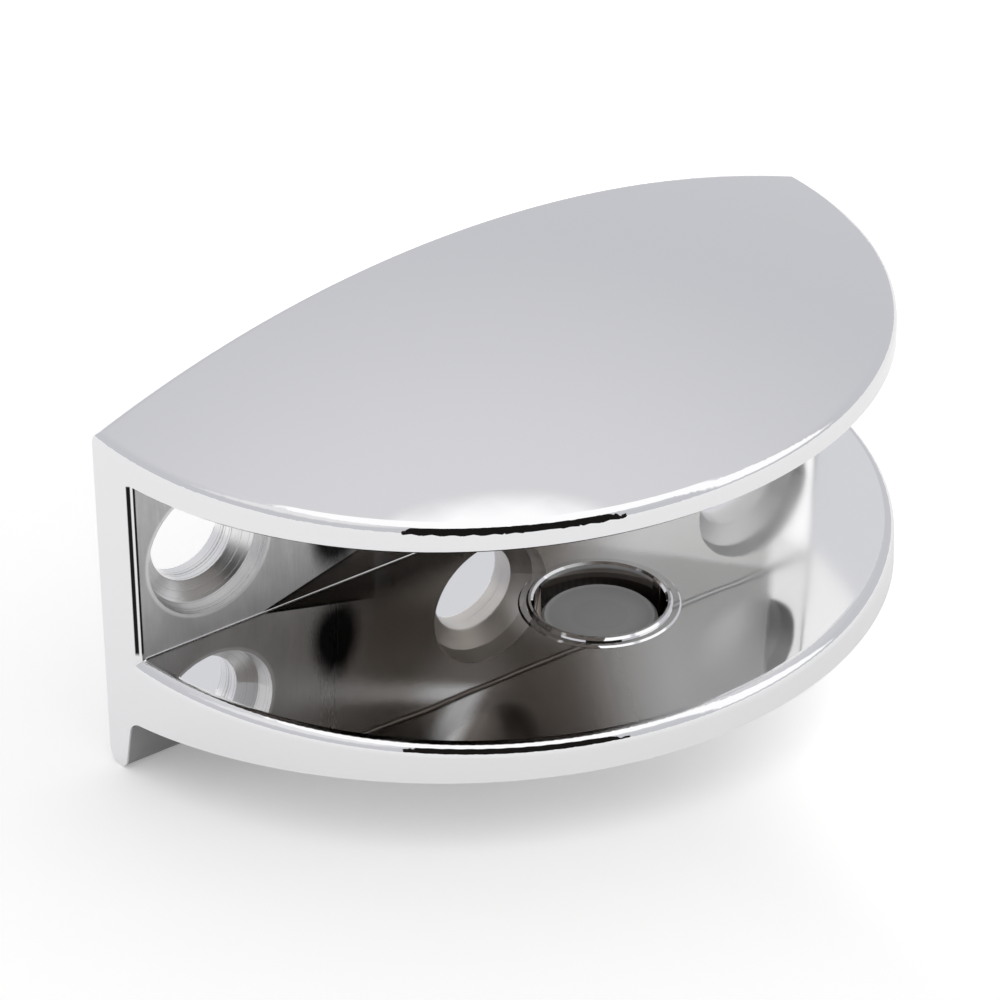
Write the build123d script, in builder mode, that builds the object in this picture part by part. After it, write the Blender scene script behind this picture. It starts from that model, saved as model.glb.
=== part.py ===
from build123d import *
from math import sqrt, tan, radians
import os

# Half-moon clamp that holds the edge of a glass shelf to a wall.
# Origin: middle of the wall face, level with the lower jaw's face carried on to the wall plane.
# X runs across the wall, -Y out into the room, Z up.

# Plan of the casting
width = 50.0
side_straight = 1.3          # straight run of each side, next to the wall

# Upper jaw: a flat edge band under a shallow spherical crown
band_height = 1.42           # at the nose, up to where band and crown would meet
crown_rise = 4.58            # from there to the crown's top
rim_radius = 0.74            # rounds the edge between band and crown
brow_bevel = 0.12            # broken lower edge of the band

# Mouth for the shelf, with the same casting draft on both jaws
mouth_height = 11.42         # measured at the wall plane
jaw_draft = 1.7              # degrees
plate_thickness = 3.4
plate_end_bevel = 0.35
corner_radius = 0.15         # inner corners of the plate and the jaws

# Lower jaw: thin at the nose, thicker towards the wall
nose_thickness = 2.16
underside_radius = 170.0
lip_radius = 0.72
root_depth = 1.5             # lip radii from the jaw's face down to where the plate stands on it

# Foot that carries the wall face on below the lower jaw
foot_drop = 8.3
foot_flat = 0.085            # between the rounded corners of its lower end
foot_round = 0.84
foot_draft = 12.4            # degrees
cove_radius = 1.2

# Three stepped holes for wall screws, one midway between the outer two
screw_margin = 5.25          # side of the casting to a screw hole's axis
hole_below_middle = 0.18     # axes below the middle of the mouth
screw_bore = 5.6
screw_bore_length = 1.61
seat_width = 1.0             # cone that a screw head sits in, across its slope
seat_length = 0.81
seat_flare = 0.3             # widening from the cone to the plate's inner face

# Clamping point in the lower jaw, square to its face: a collar with a bevelled bead round a recess
clamp_reach = 14.0           # wall face to the clamp's axis
recess_diameter = 7.7
bead_width = 0.4
bead_height = 0.2            # crest above the collar
bead_bevel = 0.13
collar_width = 0.9           # bead and flat together
collar_height = 0.1
collar_bevel = 0.12

# Boss under the jaw that carries the thread
boss_wall = 1.5
boss_length = 7.1            # jaw's face to the boss's end
boss_chamfer = 0.4

# Pad that presses on the shelf
pad_gap = 0.45               # all round, in the recess
pad_thickness = 1.5
pad_sink = 0.8               # top of the pad below the jaw's face
pad_edge = 0.2

# Set screw that lifts the pad
screw_diameter = 6.0
screw_inset = 0.2            # end of the screw inside the boss
screw_chamfer = 0.4
key_size = 3.0               # across flats
key_depth = 2.4
tip_diameter = 3.5
tip_length = 0.9

# Clearances
thread_clearance = 0.05
tip_clearance = 0.05
seat_clearance = 0.05

# Sizes that follow from those above
plan_radius = width / 2
depth = side_straight + plan_radius
draft = tan(radians(jaw_draft))
crown_height = mouth_height + draft * depth + band_height + crown_rise
crown_radius = (plan_radius**2 + crown_rise**2) / (2 * crown_rise)
foot_slope = tan(radians(foot_draft))
foot_toe = foot_flat + foot_round * (1 + tan(radians(45 - foot_draft / 2)))
nose_bottom = -draft * depth - nose_thickness
screw_spacing = width - 2 * screw_margin
hole_height = mouth_height / 2 - hole_below_middle
seat_radius = screw_bore / 2 + seat_width
recess_radius = recess_diameter / 2
bead_radius = recess_radius + bead_width
collar_radius = recess_radius + collar_width
boss_radius = screw_diameter / 2 + boss_wall
jaw_root = plate_thickness - plate_end_bevel
plate_root = draft * jaw_root + root_depth * lip_radius
spare = 1.0                  # stock outside the plan and the crown, trimmed off by them
top_of_stock = crown_height + spare
front_of_stock = depth + spare
pad_seat = pad_sink + pad_thickness
recess_depth = pad_seat + seat_clearance
bead_crest = collar_height + bead_height
clamp_plane = Plane(origin=(0, -clamp_reach, -draft * clamp_reach), x_dir=(1, 0, 0), z_dir=(0, -draft, 1))
clamp_section = Plane(origin=clamp_plane.origin, x_dir=(1, 0, 0), z_dir=(0, -1, -draft))
clamp_axis = Axis(clamp_plane.origin, clamp_plane.z_dir)


def underside_height(reach):
    """Height of the lower jaw's underside at a distance from the wall face."""
    run = depth - reach
    return nose_bottom - (underside_radius - sqrt(underside_radius**2 - run**2))


def foot_front(height):
    """Distance of the foot's sloping front from the wall face at a height."""
    return foot_toe + foot_slope * (height + foot_drop)


# Where the foot's front meets the arched underside, closed in on by turns
foot_root = foot_toe
for turn in range(4):
    foot_root = foot_front(underside_height(foot_root))

# Space that one wall screw takes through the plate
with BuildPart() as screw_way:
    with BuildSketch(Plane.XY):
        with BuildLine():
            Polyline(
                (0, 0),
                (screw_bore / 2, 0),
                (screw_bore / 2, -screw_bore_length),
                (seat_radius, -screw_bore_length - seat_length),
                (seat_radius + seat_flare, -plate_thickness),
                (0, -plate_thickness),
                close=True,
            )
        make_face()
    revolve(axis=Axis.Y)

# Half-moon plan
with BuildSketch() as plan:
    with BuildLine():
        Polyline(
            (-plan_radius, -side_straight),
            (-plan_radius, 0),
            (plan_radius, 0),
            (plan_radius, -side_straight),
        )
        ThreePointArc(
            (plan_radius, -side_straight),
            (0, -depth),
            (-plan_radius, -side_straight),
        )
    make_face()

# Lower jaw and foot. Behind the mouth the jaw stops lower down, and the plate stands on it there.
with BuildPart() as jaw:
    with BuildSketch(Plane.YZ.offset(-width / 2)) as jaw_view:
        with BuildLine():
            Polyline(
                (-foot_root, underside_height(foot_root)),
                (-foot_toe, -foot_drop),
                (0, -foot_drop),
                (0, -plate_root),
                (-jaw_root, -plate_root),
                (-jaw_root, -draft * jaw_root),
                (-front_of_stock, -draft * front_of_stock),
                (-front_of_stock, nose_bottom),
                (-depth, nose_bottom),
            )
            RadiusArc(
                (-depth, nose_bottom),
                (-foot_root, underside_height(foot_root)),
                underside_radius,
            )
        make_face()
        toe_corners = jaw_view.vertices().group_by(Axis.Y)[0]
        fillet(toe_corners, radius=foot_round)
        cove_corner = jaw_view.vertices().sort_by_distance((-foot_root, underside_height(foot_root)))[0]
        fillet(cove_corner, radius=cove_radius)
    extrude(amount=width)
    with BuildSketch(Plane.XY.offset(-foot_drop)):
        add(plan.sketch)
    extrude(amount=foot_drop, mode=Mode.INTERSECT)
    jaw_edge = jaw.edges().filter_by(GeomType.ELLIPSE).sort_by(Axis.Z)[-1]
    fillet(jaw_edge, radius=lip_radius)

with BuildPart() as body:
    # Side view of the plate and the upper jaw, carried across the width
    with BuildSketch(Plane.YZ.offset(-width / 2)):
        with BuildLine():
            Polyline(
                (0, -plate_root),
                (0, top_of_stock),
                (-front_of_stock, top_of_stock),
                (-front_of_stock, mouth_height + draft * front_of_stock),
                (-plate_thickness, mouth_height + draft * plate_thickness),
                (-plate_thickness, -plate_root),
                close=True,
            )
        make_face()
    extrude(amount=width)
    with BuildSketch(Plane.XY.offset(-plate_root)):
        add(plan.sketch)
    extrude(amount=plate_root + top_of_stock, mode=Mode.INTERSECT)

    # Crown, with its edge rounded all the way
    with Locations((0, -side_straight, crown_height - crown_radius)):
        Sphere(crown_radius, rotation=(90, 0, 0), mode=Mode.INTERSECT)
    crown = body.faces().sort_by(Axis.Z)[-1]
    fillet(crown.edges(), radius=rim_radius)

    # Bevelled ends of the plate, which the lower jaw runs over, the upper jaw's broken lower edge,
    # and the mouth's rounded inner corners
    plate_face = body.faces().filter_by(Plane.XZ).sort_by(Axis.Y)[0]
    chamfer(plate_face.edges().filter_by(Axis.Z), length=plate_end_bevel)
    add(jaw.part)
    brow = body.edges().filter_by(GeomType.ELLIPSE).sort_by(Axis.Z)[-1]
    chamfer(brow, length=brow_bevel)
    plate_face = body.faces().filter_by(Plane.XZ).sort_by(Axis.Y)[0]
    fillet(plate_face.edges().filter_by(Axis.X), radius=corner_radius)

    # Wall screw holes
    with Locations([(side * screw_spacing / 2, 0, hole_height) for side in (-1, 0, 1)]):
        add(screw_way.part, mode=Mode.SUBTRACT)

    # Boss
    with BuildSketch(clamp_plane.offset(-boss_length)):
        Circle(boss_radius)
    extrude(amount=boss_length - pad_sink)

    # Bead and collar
    with BuildSketch(clamp_section):
        with BuildLine():
            Polyline(
                (recess_radius, bead_crest - bead_bevel),
                (recess_radius + bead_bevel, bead_crest),
                (bead_radius - bead_bevel, bead_crest),
                (bead_radius, bead_crest - bead_bevel),
                (bead_radius, collar_height),
                (collar_radius - collar_bevel, collar_height),
                (collar_radius, collar_height - collar_bevel),
                (collar_radius, -pad_sink),
                (recess_radius, -pad_sink),
                close=True,
            )
        make_face()
    revolve(axis=clamp_axis)

    # Recess for the pad, and the bore that stands for the thread
    with BuildSketch(clamp_plane.offset(-recess_depth)):
        Circle(recess_radius)
    extrude(amount=recess_depth, mode=Mode.SUBTRACT)
    with BuildSketch(clamp_plane.offset(-boss_length)):
        Circle(screw_diameter / 2 + thread_clearance)
    extrude(amount=boss_length, mode=Mode.SUBTRACT)
    boss_middle = clamp_plane.offset(-boss_length).origin
    boss_end = body.faces().filter_by(GeomType.PLANE).sort_by_distance(boss_middle)[0]
    chamfer(boss_end.edges(), length=boss_chamfer)

with BuildPart() as clamp_pad:
    with BuildSketch(clamp_plane.offset(-pad_seat)):
        Circle(recess_radius - pad_gap)
    extrude(amount=pad_thickness)
    chamfer(clamp_pad.edges().group_by(clamp_axis)[-1], length=pad_edge)
    with BuildSketch(clamp_plane.offset(-pad_seat)):
        Circle(tip_diameter / 2 + tip_clearance)
    extrude(amount=tip_length - seat_clearance + tip_clearance, mode=Mode.SUBTRACT)

with BuildPart() as clamp_screw:
    with BuildSketch(clamp_plane.offset(screw_inset - boss_length)):
        Circle(screw_diameter / 2)
    extrude(amount=boss_length - screw_inset - recess_depth)
    chamfer(clamp_screw.edges(), length=screw_chamfer)
    with BuildSketch(clamp_plane.offset(-recess_depth)):
        Circle(tip_diameter / 2)
    extrude(amount=tip_length)
    with BuildSketch(clamp_plane.offset(screw_inset - boss_length)):
        RegularPolygon(radius=key_size / 2, side_count=6, major_radius=False)
    extrude(amount=key_depth, mode=Mode.SUBTRACT)

body.part.label = "body"
clamp_pad.part.label = "clamp_pad"
clamp_screw.part.label = "clamp_screw"

os.makedirs("parts", exist_ok=True)
export_step(body.part, "parts/body.step")
export_step(clamp_pad.part, "parts/clamp_pad.step")
export_step(clamp_screw.part, "parts/clamp_screw.step")
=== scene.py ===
import bpy
from math import sin, cos, radians
from mathutils import Matrix, Vector

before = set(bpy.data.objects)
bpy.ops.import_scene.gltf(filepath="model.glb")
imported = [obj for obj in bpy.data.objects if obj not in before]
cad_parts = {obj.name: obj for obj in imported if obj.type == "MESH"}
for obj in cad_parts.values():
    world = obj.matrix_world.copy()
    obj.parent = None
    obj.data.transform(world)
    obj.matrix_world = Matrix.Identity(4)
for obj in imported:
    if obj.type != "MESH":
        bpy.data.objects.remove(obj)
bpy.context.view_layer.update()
print("frame loaded:", ", ".join(sorted(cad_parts)))


# camera, fitted to the outlines in the photograph

cameraPlace = {
    "azimuth": -35.342,        # degrees, 0 looks along +Y
    "elevation": 30.933,
    "roll": -1.323,
    "distance": 0.37998,       # metres, to the origin of the frame
    "right": 0.00249,
    "up": -0.0000966,
    "lens": 230.95,            # mm
    "sensor": 36,              # mm wide
    "clip": (0.01, 20),        # metres
}


def makeCamera():
    azimuth, elevation, roll = (radians(cameraPlace[key]) for key in ("azimuth", "elevation", "roll"))
    back = Vector((sin(azimuth) * cos(elevation), -cos(azimuth) * cos(elevation), sin(elevation)))
    right = Vector((cos(azimuth), sin(azimuth), 0))
    up = back.cross(right)
    turnedRight = right * cos(roll) + up * sin(roll)
    turnedUp = up * cos(roll) - right * sin(roll)
    bpy.ops.object.camera_add()
    camera = bpy.context.object
    camera.name = "photoCamera"
    axes = Matrix((turnedRight, turnedUp, back)).transposed().to_4x4()
    place = back * cameraPlace["distance"]
    place += turnedRight * cameraPlace["right"] + turnedUp * cameraPlace["up"]
    camera.matrix_world = Matrix.Translation(place) @ axes
    camera.data.lens = cameraPlace["lens"]
    camera.data.sensor_width = cameraPlace["sensor"]
    camera.data.clip_start, camera.data.clip_end = cameraPlace["clip"]
    bpy.context.scene.camera = camera


makeCamera()
print("camera made")


# helpers for node trees

def newMaterial(name):
    material = bpy.data.materials.new(name)
    material.use_nodes = True
    return material, material.node_tree, material.node_tree.nodes["Principled BSDF"]


def newGroup(name, values, outputs):
    # every group takes a position in millimetres, and plain numbers beside it
    group = bpy.data.node_groups.new(name, "ShaderNodeTree")
    group.interface.new_socket(name="Position", in_out="INPUT", socket_type="NodeSocketVector")
    for socket, value in values.items():
        made = group.interface.new_socket(name=socket, in_out="INPUT", socket_type="NodeSocketFloat")
        made.default_value = value
    for socket in outputs:
        group.interface.new_socket(name=socket, in_out="OUTPUT", socket_type="NodeSocketFloat")
    return group, group.nodes.new("NodeGroupInput").outputs, group.nodes.new("NodeGroupOutput").inputs


def placeGroup(tree, group, position, **values):
    node = tree.nodes.new("ShaderNodeGroup")
    node.node_tree = group
    tree.links.new(position, node.inputs["Position"])
    for key, value in values.items():
        node.inputs[key].default_value = value
    return node.outputs


def feed(tree, target, value):
    if isinstance(value, bpy.types.NodeSocket):
        tree.links.new(value, target)
    else:
        target.default_value = value


def maths(tree, operation, *values):
    node = tree.nodes.new("ShaderNodeMath")
    node.operation = operation
    for socket, value in zip(node.inputs, values):
        feed(tree, socket, value)
    return node.outputs[0]


def line(tree, value, slope, start):
    return maths(tree, "MULTIPLY_ADD", value, slope, start)


def minus(tree, a, b):
    return maths(tree, "SUBTRACT", a, b)


def apart(tree, a, b=0.0):
    return maths(tree, "ABSOLUTE", minus(tree, a, b))


def span(tree, a, b):
    # length of the hypotenuse over a and b
    return maths(tree, "SQRT", maths(tree, "MULTIPLY_ADD", a, a, maths(tree, "MULTIPLY", b, b)))


def times(tree, *masks):
    product = masks[0]
    for mask in masks[1:]:
        product = maths(tree, "MULTIPLY", product, mask)
    return product


def soften(tree, value, start, end):
    # 0 before start, 1 past end, where end may be the smaller of the two
    node = tree.nodes.new("ShaderNodeMapRange")
    node.interpolation_type = "SMOOTHSTEP"
    node.inputs["From Min"].default_value = min(start, end)
    node.inputs["From Max"].default_value = max(start, end)
    node.inputs["To Min"].default_value = 0.0 if start < end else 1.0
    node.inputs["To Max"].default_value = 1.0 if start < end else 0.0
    feed(tree, node.inputs["Value"], value)
    return node.outputs[0]


def mixColour(tree, factor, a, b):
    node = tree.nodes.new("ShaderNodeMix")
    node.data_type = "RGBA"
    feed(tree, node.inputs[0], factor)
    feed(tree, node.inputs[6], a)
    feed(tree, node.inputs[7], b)
    return node.outputs[2]


def mixValue(tree, factor, a, b):
    node = tree.nodes.new("ShaderNodeMix")
    feed(tree, node.inputs[0], factor)
    feed(tree, node.inputs[2], a)
    feed(tree, node.inputs[3], b)
    return node.outputs[0]


def millimetres(tree):
    # object coordinates in millimetres, as one vector and as its three parts
    place = tree.nodes.new("ShaderNodeTexCoord")
    scale = tree.nodes.new("ShaderNodeVectorMath")
    scale.operation = "SCALE"
    scale.inputs["Scale"].default_value = 1000
    tree.links.new(place.outputs["Object"], scale.inputs[0])
    split = tree.nodes.new("ShaderNodeSeparateXYZ")
    tree.links.new(scale.outputs[0], split.inputs[0])
    return scale.outputs[0], split.outputs["X"], split.outputs["Y"], split.outputs["Z"]


def stretchedNoise(tree, vector, stretch, scale, detail, roughness):
    mapping = tree.nodes.new("ShaderNodeMapping")
    mapping.inputs["Scale"].default_value = stretch
    tree.links.new(vector, mapping.inputs["Vector"])
    noise = tree.nodes.new("ShaderNodeTexNoise")
    noise.inputs["Scale"].default_value = scale
    noise.inputs["Detail"].default_value = detail
    noise.inputs["Roughness"].default_value = roughness
    tree.links.new(mapping.outputs["Vector"], noise.inputs["Vector"])
    return noise.outputs["Fac"]


def bumpMillimetres(tree, height, shader):
    bump = tree.nodes.new("ShaderNodeBump")
    bump.inputs["Distance"].default_value = 0.001
    tree.links.new(height, bump.inputs["Height"])
    tree.links.new(bump.outputs["Normal"], shader.inputs["Normal"])


# shared surface effects

evenly = (1, 1, 1)

# a noise is its stretch along X, Y and Z, its scale to the millimetre, its octaves and its roughness
effects = {
    "slowWave": (evenly, 0.16, 1.0, 0.5),
    "quickWave": (evenly, 0.9, 2.0, 0.5),
    "quickShare": 0.05,
    "strokes": ((5.5, 5.5, 0.35), 1.0, 4.0, 0.65),
    "blotches": ((0.5, 0.5, 0.25), 1.0, 3.0, 0.6),
    "smudges": (evenly, 0.22, 4.0, 0.6),
    "smudgeReach": (0.42, 0.68),
    "hairlines": ((6, 0.5, 0.5), 1.0, 3.0, 0.7),
    "hairReach": (0.62, 0.75),
    "hairShare": 0.4,
}


def makeWavyCasting():
    # the slow unevenness of a polished casting under its plating, as a height in millimetres
    group, given, out = newGroup("wavyCasting", {"Depth": 0.02}, ["Height"])
    slow = stretchedNoise(group, given["Position"], *effects["slowWave"])
    quick = stretchedNoise(group, given["Position"], *effects["quickWave"])
    height = times(group, slow, given["Depth"])
    height = line(group, times(group, quick, given["Depth"]), effects["quickShare"], height)
    group.links.new(height, out["Height"])
    return group


def makeBrushLines():
    # fine strokes that run along Z
    group, given, out = newGroup("brushLines", {}, ["Strokes", "Blotches"])
    strokes = stretchedNoise(group, given["Position"], *effects["strokes"])
    blotches = stretchedNoise(group, given["Position"], *effects["blotches"])
    group.links.new(strokes, out["Strokes"])
    group.links.new(blotches, out["Blotches"])
    return group


def makeFineWear():
    # hairlines and faint smudges that vary the roughness of a handled surface
    group, given, out = newGroup("fineWear", {"Base": 0.05, "Spread": 0.02}, ["Roughness"])
    smudge = stretchedNoise(group, given["Position"], *effects["smudges"])
    hair = stretchedNoise(group, given["Position"], *effects["hairlines"])
    smudge = soften(group, smudge, *effects["smudgeReach"])
    hair = soften(group, hair, *effects["hairReach"])
    both = line(group, hair, effects["hairShare"], smudge)
    group.links.new(line(group, both, given["Spread"], given["Base"]), out["Roughness"])
    return group


wavyCasting = makeWavyCasting()
brushLines = makeBrushLines()
fineWear = makeFineWear()
print("shared effects made")


# casting: chrome over zinc, polished outside, satin and thinly plated inside the mouth, with painted light
# and shade on the mouth's wall, round the left hole and on the underside

# places are in millimetres: a pair goes from where a finish starts to where it is full,
# and a spot is its middle, its radii and the softness of its edge
castingLook = {
    "chrome": (0.82, 0.82, 0.83, 1),
    "polishedRoughness": 0.02,
    "polishedSpread": 0.015,
    "waviness": 0.012,

    # the mouth's faces
    "draft": 0.02968,               # slope of both jaws
    "wall": -3.4,                   # the plate's inner face
    "roof": 11.42,                  # at the wall plane
    "faceReach": (0.02, 0.008),     # how near to a face its finish is
    "mouthFoot": (-0.3, -0.2),
    "mouthTop": (12.3, 12.2),
    "mouthEnds": (24.75, 24.7),
    "wallTop": (11.6, 11.55),
    "roofBack": (-3.4, -3.45),
    "jawBack": (-3.5, -3.7),
    "jaw": (0.95, 0.95, 0.955, 1),
    "jawHaze": 0.13,                # roughness of its right end
    "jawHazeLean": -0.3,
    "jawHazeReach": (12.0, 19.0),

    # tones inside the mouth: thin plating deep in it and towards its right end; the black is painted shade
    # low on the wall and the pale streak is painted light higher up
    "brown": (0.186, 0.165, 0.147, 1),
    "roofBrown": (0.145, 0.128, 0.115, 1),
    "paintedShadeBlack": (0.035, 0.031, 0.027, 1),
    "grey": (0.66, 0.66, 0.66, 1),
    "paintedLightStreak": (0.50, 0.49, 0.47, 1),
    "bright": (0.92, 0.92, 0.92, 1),
    "nearBlack": (0.012, 0.012, 0.012, 1),
    "brownRoughness": 0.2,
    "greyRoughness": 0.1,

    # wall
    "satinLow": (0.43, 0.43, 0.43, 1),
    "satinHigh": (0.53, 0.53, 0.53, 1),
    "strokeReach": (0.25, 0.75),
    "blotchReach": (0.3, 0.7),
    "satinShares": (0.25, 0.75),    # strokes and blotches in its tone
    "satinRoughness": 0.36,
    "satinShine": -0.08,            # roughness that a stroke takes away
    "satinDepth": 0.008,
    "satinReach": (-7.0, -15.0),
    "borderSlope": 0.25,            # slanting lower border of the satin
    "borderStart": 4.02,
    "borderSoft": (0.0, 0.06),
    "borderEnd": (-8.6, -8.2),
    "borderLine": 3.96,             # black line along it
    "borderLineWidth": (0.16, 0.02),
    "borderLineEnd": (-8.8, -10.2),
    "greyLean": 0.25,
    "greyReach": (3.5, 13.0),
    # painted light: the wall grows paler towards its top
    "paintedLightRise": (2.0, 9.5),
    "paintedLightShare": 0.45,
    "paleSpot": ((-2.0, 12.0), (3.2, 4.0), 0.6),
    # painted shade at the foot of the wall, fading upward and towards the right
    "paintedShadeRise": (3.4, 0.9),
    "paintedShadeEnd": (8.0, 3.0),
    "darkOval": ((-11.15, 3.9), (1.6, 2.5), 0.4),
    "darkOvalWobble": 0.5,
    "brightReach": (20.6, 21.8),

    # roof
    "roofRoughness": 0.34,
    "roofGreyLean": -0.5,
    "roofGreyReach": (6.5, 15.0),
    "roofStreak": (1.3, 2.8),       # slope and start of its middle line
    "roofStreakWidth": (2.4, 0.4),
    "roofStreakShare": 0.8,
    "roofBrightLean": -0.85,
    "roofBrightReach": (24.0, 24.9),

    # rounded corner between wall and roof
    "cornerGrey": (0.46, 0.46, 0.46, 1),
    "cornerRoughness": 0.35,
    "cornerRise": 0.1,
    "cornerReach": (0.32, 0.2),
    "cornerEnds": (24.6, 24.4),

    # dark lines on the bevel at each end of the wall
    "bevelSide": (24.5, 24.55),
    "bevelBack": (-3.10, -3.14),
    "bevelFront": (-3.30, -3.26),
    "seamSide": (24.42, 24.48),
    "seamBack": (-3.36, -3.39),
    "endFoot": (0.1, 0.4),
    "endTop": (11.45, 11.35),

    # screw holes
    "holeSide": 19.75,              # outer holes from the middle
    "holeHeight": 5.53,
    "holeRim": 4.1,                 # radius at the plate's inner face
    "holeEdge": (0.01, -0.02),
    "holeFront": (0.002, 0.03),
    "holeBack": (-0.02, -0.1),
    "turned": (0.93, 0.93, 0.93, 1),
    "turnedRoughness": 0.3,
    "ringShare": 0.55,              # turning marks
    "ringNoise": ((9, 9, 1), 1.0, 3.0, 0.6),
    "ringReach": (0.56, 0.66),
    "ringDepth": -0.006,
    "paintedRimHighlight": (0.72, 0.72, 0.72, 1),  # painted highlight along the edge of the left hole
    "paintedRimHighlightWidth": (0.3, 0.12),
    "paintedRimHighlightEnd": (-12.0, -13.0),
    "middleCone": (0.34, 0.31, 0.28, 1),
    "middleConePale": (0.62, 0.60, 0.58, 1),
    "middleHoleReach": (6.0, 5.0),
    "middlePaleSide": (1.8, 3.2),
    "middlePaleBack": (-1.7, -1.55),
    "rightHoleReach": (12.0, 13.0),
    "innerConeRoughness": 0.42,

    # recess round the pad
    "recess": (0.34, 0.31, 0.285, 1),
    "padPlace": 14.0,               # wall face to the pad's axis
    "recessReach": (3.9, 3.86),
    "recessTop": (-0.3, -0.5),

    # rough underside next to the foot; its darker colour is painted shade
    "underside": (0.36, 0.36, 0.365, 1),
    "undersideRoughness": 0.35,
    "planMiddle": 1.3,
    "undersideEdge": (24.95, 24.85),
    "undersideTop": (-2.4, -2.6),
    "undersideBack": (-0.05, -0.3),
    "undersideFront": (-7.0, -5.0),
}


def ellipseMask(tree, a, b, middle, radii, soft):
    # 1 inside an ellipse in the plane of a and b, with an edge that is soft by a share of its size
    u = maths(tree, "DIVIDE", minus(tree, a, middle[0]), radii[0])
    v = maths(tree, "DIVIDE", minus(tree, b, middle[1]), radii[1])
    return soften(tree, span(tree, u, v), 1 + soft, 1 - soft)


def findFaces(tree, x, y, z):
    # masks of the mouth's wall, roof and jaw
    look = castingLook
    inMouth = times(tree, soften(tree, z, *look["mouthFoot"]), soften(tree, z, *look["mouthTop"]),
                    soften(tree, apart(tree, x), *look["mouthEnds"]))
    onWall = times(tree, soften(tree, apart(tree, y, look["wall"]), *look["faceReach"]),
                   inMouth, soften(tree, z, *look["wallTop"]))
    offRoof = apart(tree, z, line(tree, y, -look["draft"], look["roof"]))
    onRoof = times(tree, soften(tree, offRoof, *look["faceReach"]),
                   inMouth, soften(tree, y, *look["roofBack"]))
    offJaw = apart(tree, z, times(tree, y, look["draft"]))
    onJaw = times(tree, soften(tree, offJaw, *look["faceReach"]), soften(tree, y, *look["jawBack"]))
    return onWall, onRoof, onJaw


def finishWall(tree, x, z, brush, polished):
    # satin at its left, brown in the middle, grey and then bright at its right, with painted shade at its
    # foot and painted light towards its top
    look = castingLook
    strokes = soften(tree, brush["Strokes"], *look["strokeReach"])
    blotches = soften(tree, brush["Blotches"], *look["blotchReach"])

    toGrey = soften(tree, line(tree, z, look["greyLean"], x), *look["greyReach"])
    colour = mixColour(tree, toGrey, look["brown"], look["grey"])
    # painted light: paler towards the top of the wall
    paintedLightUp = times(tree, soften(tree, z, *look["paintedLightRise"]), look["paintedLightShare"])
    colour = mixColour(tree, paintedLightUp, colour, look["paintedLightStreak"])
    colour = mixColour(tree, ellipseMask(tree, x, z, *look["paleSpot"]), colour, look["grey"])
    # painted shade: the wall turns black near its foot, next to the jaw
    low = times(tree, soften(tree, z, *look["paintedShadeRise"]), soften(tree, x, *look["paintedShadeEnd"]))
    colour = mixColour(tree, low, colour, look["paintedShadeBlack"])

    strokeShare, blotchShare = look["satinShares"]
    satinTone = line(tree, strokes, strokeShare, times(tree, blotches, blotchShare))
    border = minus(tree, z, line(tree, x, look["borderSlope"], look["borderStart"]))
    border = soften(tree, border, *look["borderSoft"])
    border = maths(tree, "MAXIMUM", border, soften(tree, x, *look["borderEnd"]))
    satin = times(tree, soften(tree, x, *look["satinReach"]), border)
    colour = mixColour(tree, satin, colour, mixColour(tree, satinTone, look["satinLow"], look["satinHigh"]))

    edge = apart(tree, z, line(tree, x, look["borderSlope"], look["borderLine"]))
    edge = times(tree, soften(tree, edge, *look["borderLineWidth"]),
                 soften(tree, x, *look["borderLineEnd"]))
    # a dark oval patch on the wall with a wobbled edge
    darkOval = ellipseMask(tree, x, line(tree, blotches, look["darkOvalWobble"], z), *look["darkOval"])
    colour = mixColour(tree, maths(tree, "MAXIMUM", edge, darkOval), colour, look["nearBlack"])
    bright = soften(tree, x, *look["brightReach"])
    colour = mixColour(tree, bright, colour, look["bright"])

    rough = mixValue(tree, toGrey, look["brownRoughness"], look["greyRoughness"])
    rough = mixValue(tree, satin, rough, line(tree, strokes, look["satinShine"], look["satinRoughness"]))
    rough = mixValue(tree, bright, rough, polished)
    return colour, rough, satin


def finishRoof(tree, x, y, polished):
    # brown, a paler streak, grey, and bright at its right
    look = castingLook
    toGrey = soften(tree, line(tree, y, look["roofGreyLean"], x), *look["roofGreyReach"])
    colour = mixColour(tree, toGrey, look["roofBrown"], look["grey"])
    streak = soften(tree, apart(tree, x, line(tree, y, *look["roofStreak"])), *look["roofStreakWidth"])
    colour = mixColour(tree, times(tree, streak, look["roofStreakShare"]), colour, look["grey"])
    bright = soften(tree, line(tree, y, look["roofBrightLean"], x), *look["roofBrightReach"])
    colour = mixColour(tree, bright, colour, look["bright"])
    rough = mixValue(tree, toGrey, look["brownRoughness"], look["roofRoughness"])
    rough = mixValue(tree, bright, rough, polished)
    corner = mixColour(tree, toGrey, look["roofBrown"], look["cornerGrey"])
    return colour, rough, corner


def findHoles(tree, x, y, z):
    # distance from the nearest hole's axis, mask of the turned surfaces, and turning marks on them
    look = castingLook
    aside = maths(tree, "MINIMUM", apart(tree, x), apart(tree, apart(tree, x), look["holeSide"]))
    reach = span(tree, aside, minus(tree, z, look["holeHeight"]))
    rim, wall = look["holeRim"], look["wall"]
    turned = times(tree, soften(tree, reach, *(rim + step for step in look["holeEdge"])),
                   soften(tree, y, *(wall + step for step in look["holeFront"])),
                   soften(tree, y, *look["holeBack"]))
    ringPlace = tree.nodes.new("ShaderNodeCombineXYZ")
    tree.links.new(reach, ringPlace.inputs[0])
    tree.links.new(y, ringPlace.inputs[1])
    rings = stretchedNoise(tree, ringPlace.outputs[0], *look["ringNoise"])
    return reach, turned, soften(tree, rings, *look["ringReach"])


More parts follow.
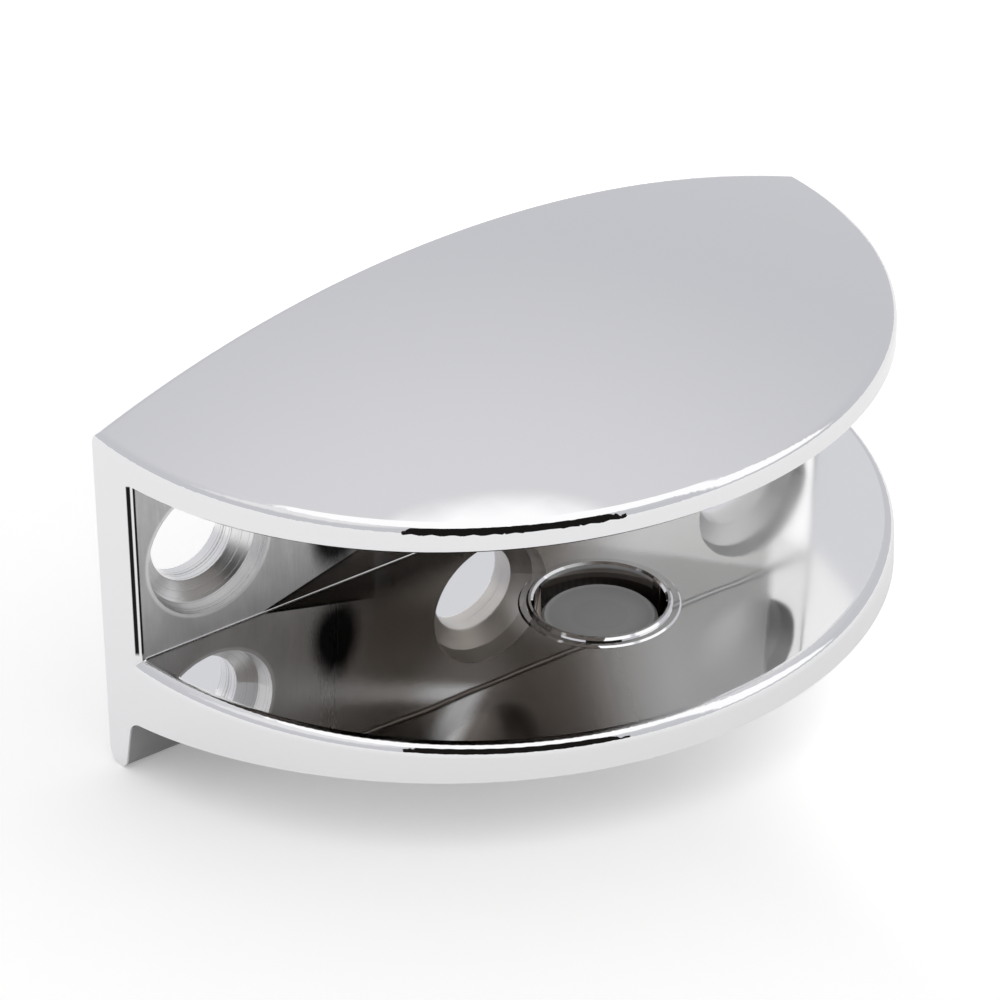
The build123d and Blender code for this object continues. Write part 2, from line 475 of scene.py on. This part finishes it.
def findEnds(tree, far, y, z):
    look = castingLook
    bevel = times(tree, soften(tree, far, *look["bevelSide"]), soften(tree, y, *look["bevelBack"]),
                  soften(tree, y, *look["bevelFront"]))
    seam = times(tree, soften(tree, far, *look["seamSide"]), soften(tree, y, *look["seamBack"]))
    return times(tree, maths(tree, "MAXIMUM", bevel, seam),
                 soften(tree, z, *look["endFoot"]), soften(tree, z, *look["endTop"]))


def findCorner(tree, far, y, z):
    look = castingLook
    corner = span(tree, minus(tree, y, look["wall"]), minus(tree, z, look["roof"] + look["cornerRise"]))
    return times(tree, soften(tree, corner, *look["cornerReach"]), soften(tree, far, *look["cornerEnds"]))


def findRecess(tree, x, y, z):
    look = castingLook
    fromPad = span(tree, x, maths(tree, "ADD", y, look["padPlace"]))
    return times(tree, soften(tree, fromPad, *look["recessReach"]), soften(tree, z, *look["recessTop"]))


def findUnderside(tree, x, y, z):
    look = castingLook
    fromMiddle = span(tree, x, maths(tree, "ADD", y, look["planMiddle"]))
    return times(tree, soften(tree, fromMiddle, *look["undersideEdge"]),
                 soften(tree, z, *look["undersideTop"]),
                 soften(tree, y, *look["undersideBack"]), soften(tree, y, *look["undersideFront"]))


def makeChrome():
    look = castingLook
    material, tree, shader = newMaterial("chromedCasting")
    shader.inputs["Metallic"].default_value = 1
    place, x, y, z = millimetres(tree)
    far = apart(tree, x)
    brush = placeGroup(tree, brushLines, place)
    wear = placeGroup(tree, fineWear, place, Base=look["polishedRoughness"], Spread=look["polishedSpread"])
    waves = placeGroup(tree, wavyCasting, place, Depth=look["waviness"])
    polished = wear["Roughness"]

    onWall, onRoof, onJaw = findFaces(tree, x, y, z)
    wallColour, wallRough, satin = finishWall(tree, x, z, brush, polished)
    roofColour, roofRough, cornerColour = finishRoof(tree, x, y, polished)
    reach, turned, rings = findHoles(tree, x, y, z)

    haze = soften(tree, line(tree, y, look["jawHazeLean"], x), *look["jawHazeReach"])
    # painted highlight in a thin ring on the wall round the left hole's rim
    paintedRimHighlight = times(tree, soften(tree, reach, *(look["holeRim"] + step for step in look["paintedRimHighlightWidth"])),
                  onWall, soften(tree, x, *look["paintedRimHighlightEnd"]))
    marked = mixColour(tree, times(tree, rings, look["ringShare"]), look["turned"], look["brown"])
    middleHole = times(tree, turned, soften(tree, far, *look["middleHoleReach"]))
    middlePale = maths(tree, "MAXIMUM", soften(tree, x, *look["middlePaleSide"]),
                       soften(tree, y, *look["middlePaleBack"]))
    middleColour = mixColour(tree, middlePale, look["middleCone"], look["middleConePale"])
    rightHole = times(tree, turned, soften(tree, x, *look["rightHoleReach"]))

    # each zone over those before it: mask, colour, and roughness where it has its own
    zones = [
        (onJaw, look["jaw"], None),
        (times(tree, haze, onJaw), None, look["jawHaze"]),
        (onWall, wallColour, wallRough),
        (onRoof, roofColour, roofRough),
        (findCorner(tree, far, y, z), cornerColour, look["cornerRoughness"]),
        (findEnds(tree, far, y, z), look["nearBlack"], None),
        # painted highlight round the left hole
        (paintedRimHighlight, look["paintedRimHighlight"], None),
        # rougher underside, its darker colour painted shade
        (findUnderside(tree, x, y, z), look["underside"], look["undersideRoughness"]),
        (findRecess(tree, x, y, z), look["recess"], None),
        (turned, marked, look["turnedRoughness"]),
        (middleHole, middleColour, look["innerConeRoughness"]),
        (rightHole, look["grey"], look["innerConeRoughness"]),
    ]
    colour, rough = look["chrome"], polished
    for mask, ownColour, ownRough in zones:
        if ownColour is not None:
            colour = mixColour(tree, mask, colour, ownColour)
        if ownRough is not None:
            rough = mixValue(tree, mask, rough, ownRough)
    tree.links.new(colour, shader.inputs["Base Color"])
    tree.links.new(rough, shader.inputs["Roughness"])

    height = line(tree, times(tree, rings, turned), look["ringDepth"], waves["Height"])
    height = line(tree, times(tree, brush["Strokes"], satin, onWall), look["satinDepth"], height)
    bumpMillimetres(tree, height, shader)
    return material


# frosted pad

padLook = {
    "colour": (0.62, 0.62, 0.615, 1),
    "border": (0.80, 0.80, 0.80, 1),
    "spot": (0.52, 0.52, 0.51, 1),  # darker middle
    "spotShare": 0.35,
    "axis": -14.0,                  # mm along Y
    "borderReach": (2.85, 3.15),    # mm from the axis
    "spotReach": (1.8, 1.5),
    "roughness": 0.38,
    "spread": 0.12,
    "frost": (evenly, 9.0, 3.0, 0.5),
    "frostDepth": 0.004,            # mm
    "rings": 42,                    # moulding rings, radians to the millimetre
    "ringDepth": 0.0008,
}


def makePad():
    look = padLook
    material, tree, shader = newMaterial("frostedPad")
    place, x, y = millimetres(tree)[:3]
    radius = span(tree, x, minus(tree, y, look["axis"]))
    border = soften(tree, radius, *look["borderReach"])
    spot = times(tree, soften(tree, radius, *look["spotReach"]), look["spotShare"])
    colour = mixColour(tree, border, look["colour"], look["border"])
    tree.links.new(mixColour(tree, spot, colour, look["spot"]), shader.inputs["Base Color"])
    wear = placeGroup(tree, fineWear, place, Base=look["roughness"], Spread=look["spread"])
    tree.links.new(wear["Roughness"], shader.inputs["Roughness"])
    frost = stretchedNoise(tree, place, *look["frost"])
    rings = maths(tree, "SINE", times(tree, radius, look["rings"]))
    height = line(tree, frost, look["frostDepth"], times(tree, rings, look["ringDepth"]))
    bumpMillimetres(tree, height, shader)
    return material


# set screw

screwLook = {
    "dull": (0.50, 0.50, 0.50, 1),
    "clean": (0.64, 0.64, 0.63, 1),
    "spots": (evenly, 1.4, 4.0, 0.65),
    "spotReach": (0.35, 0.7),
    "roughness": 0.26,
    "spread": 0.14,
}


def makeScrewSteel():
    look = screwLook
    material, tree, shader = newMaterial("screwSteel")
    shader.inputs["Metallic"].default_value = 1
    place = millimetres(tree)[0]
    spots = stretchedNoise(tree, place, *look["spots"])
    colour = mixColour(tree, soften(tree, spots, *look["spotReach"]), look["dull"], look["clean"])
    tree.links.new(colour, shader.inputs["Base Color"])
    wear = placeGroup(tree, fineWear, place, Base=look["roughness"], Spread=look["spread"])
    tree.links.new(wear["Roughness"], shader.inputs["Roughness"])
    return material


def dress(nodeName, material):
    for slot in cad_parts[nodeName].material_slots:
        slot.material = material


dress("body", makeChrome())
dress("clamp_pad", makePad())
dress("clamp_screw", makeScrewSteel())
print("materials made")


# studio: floor, dark card and the light that the part mirrors

studio = {
    "floorTilt": 2.2,               # degrees, the part rests on its foot and its boss
    "floorHeight": -0.00834,        # metres, at the wall plane
    "floorSize": 1.6,
    "floorColour": (0.935, 0.93, 0.915, 1),
    "floorLiftWithPaintedLight": (0.20, 0.66),      # shown to the camera, not cast on the part; the rise to the right is painted light that thins the part's shadow there
    "floorPaintedLightSpread": (-5, 20),         # mm along X, from the darker to the lighter lift
    "floorGleam": 0.15,             # shown in mirrors
    "backdrop": (0.655, 0.66, 0.69, 1),
    "backdropTop": (0.80, 0.80, 0.82, 1),
    "backdropRise": (25, 72),       # degrees up
    "white": (1.2, 1.2, 1.2, 1),    # the softboxes
    "overheadAim": (-0.050, -0.213, 0.975),
    "overheadEdge": (0.825, 0.853),  # cosine of the angle from the aim
    "windowSides": (29, 68),        # degrees to the right of straight ahead
    "windowFoot": 12,               # degrees up
    "windowBlur": 3,
    "glow": (0.93, 0.93, 0.94, 1),
    "glowSides": (-115, -58),
    "glowFoot": 32,
    "glowBlur": 8,
    "flagEnds": ((-0.0667, -0.0576), (-0.003, -0.0873)),  # metres, seen from above
    "flagHeights": (0.002, 0.074),
    "flagColour": (0.012, 0.011, 0.010, 1),
}


def addPlane(name, size):
    bpy.ops.object.select_all(action="DESELECT")
    bpy.ops.mesh.primitive_plane_add(size=size)
    plane = bpy.context.object
    plane.name = name
    return plane


def makeFloor():
    floor = addPlane("floor", studio["floorSize"])
    tilt = Matrix.Rotation(-radians(studio["floorTilt"]), 4, "X")
    floor.matrix_world = Matrix.Translation((0, 0, studio["floorHeight"])) @ tilt
    material, tree, shader = newMaterial("paleFloor")
    shader.inputs["Base Color"].default_value = studio["floorColour"]
    shader.inputs["Roughness"].default_value = 1
    shader.inputs["Specular IOR Level"].default_value = 0
    shader.inputs["Emission Color"].default_value = (1, 1, 1, 1)
    path = tree.nodes.new("ShaderNodeLightPath").outputs
    aside = millimetres(tree)[1]
    # camera-only glow on the floor, with painted light growing to the right over the part's shadow
    liftWithPaintedLight = mixValue(tree, soften(tree, aside, *studio["floorPaintedLightSpread"]), *studio["floorLiftWithPaintedLight"])
    liftWithPaintedLight = times(tree, path["Is Camera Ray"], liftWithPaintedLight)
    liftWithPaintedLight = line(tree, path["Is Glossy Ray"], studio["floorGleam"], liftWithPaintedLight)
    tree.links.new(liftWithPaintedLight, shader.inputs["Emission Strength"])
    facing = tree.nodes.new("ShaderNodeNewGeometry").outputs
    tree.links.new(minus(tree, 1.0, facing["Backfacing"]), shader.inputs["Alpha"])  # clear from below
    floor.data.materials.append(material)


def makeFlag():
    # upright dark card in front of the part, seen only in its mirrors
    start, end = (Vector((*point, 0)) for point in studio["flagEnds"])
    low, high = studio["flagHeights"]
    flag = addPlane("darkFlag", 1)
    along = end - start
    outward = along.cross(Vector((0, 0, 1))).normalized()
    axes = Matrix((along, Vector((0, 0, high - low)), outward)).transposed().to_4x4()
    flag.matrix_world = Matrix.Translation((start + end) / 2 + Vector((0, 0, (low + high) / 2))) @ axes
    material, tree, shader = newMaterial("darkCard")
    shader.inputs["Base Color"].default_value = (0, 0, 0, 1)
    shader.inputs["Specular IOR Level"].default_value = 0
    shader.inputs["Emission Color"].default_value = studio["flagColour"]
    shader.inputs["Emission Strength"].default_value = 1
    flag.data.materials.append(material)
    flag.visible_camera = False
    flag.visible_diffuse = False
    flag.visible_shadow = False


def makeWorld():
    world = bpy.data.worlds.new("studio")
    bpy.context.scene.world = world
    world.use_nodes = True
    tree = world.node_tree
    tree.nodes.clear()
    out = tree.nodes.new("ShaderNodeOutputWorld")
    background = tree.nodes.new("ShaderNodeBackground")
    direction = tree.nodes.new("ShaderNodeTexCoord").outputs["Generated"]
    split = tree.nodes.new("ShaderNodeSeparateXYZ")
    tree.links.new(direction, split.inputs[0])
    aside = maths(tree, "ARCTAN2", split.outputs["X"], times(tree, split.outputs["Y"], -1))
    aside = maths(tree, "DEGREES", aside)
    above = maths(tree, "DEGREES", maths(tree, "ARCSINE", split.outputs["Z"]))

    def panel(sides, foot, blur):
        left, right = sides
        return times(tree, soften(tree, aside, left - blur, left + blur),
                     soften(tree, aside, right + blur, right - blur),
                     soften(tree, above, foot - blur, foot + blur))

    toAim = tree.nodes.new("ShaderNodeVectorMath")
    toAim.operation = "DOT_PRODUCT"
    tree.links.new(direction, toAim.inputs[0])
    toAim.inputs[1].default_value = studio["overheadAim"]
    overhead = soften(tree, toAim.outputs["Value"], *studio["overheadEdge"])
    window = panel(studio["windowSides"], studio["windowFoot"], studio["windowBlur"])
    glow = panel(studio["glowSides"], studio["glowFoot"], studio["glowBlur"])
    rise = soften(tree, above, *studio["backdropRise"])
    light = mixColour(tree, rise, studio["backdrop"], studio["backdropTop"])
    light = mixColour(tree, glow, light, studio["glow"])
    light = mixColour(tree, maths(tree, "MAXIMUM", overhead, window), light, studio["white"])
    path = tree.nodes.new("ShaderNodeLightPath").outputs
    shown = mixColour(tree, path["Is Camera Ray"], light, (1, 1, 1, 1))
    tree.links.new(shown, background.inputs["Color"])
    tree.links.new(background.outputs[0], out.inputs[0])


makeFloor()
makeFlag()
makeWorld()
bpy.context.scene.view_settings.view_transform = "Standard"
print("studio made")
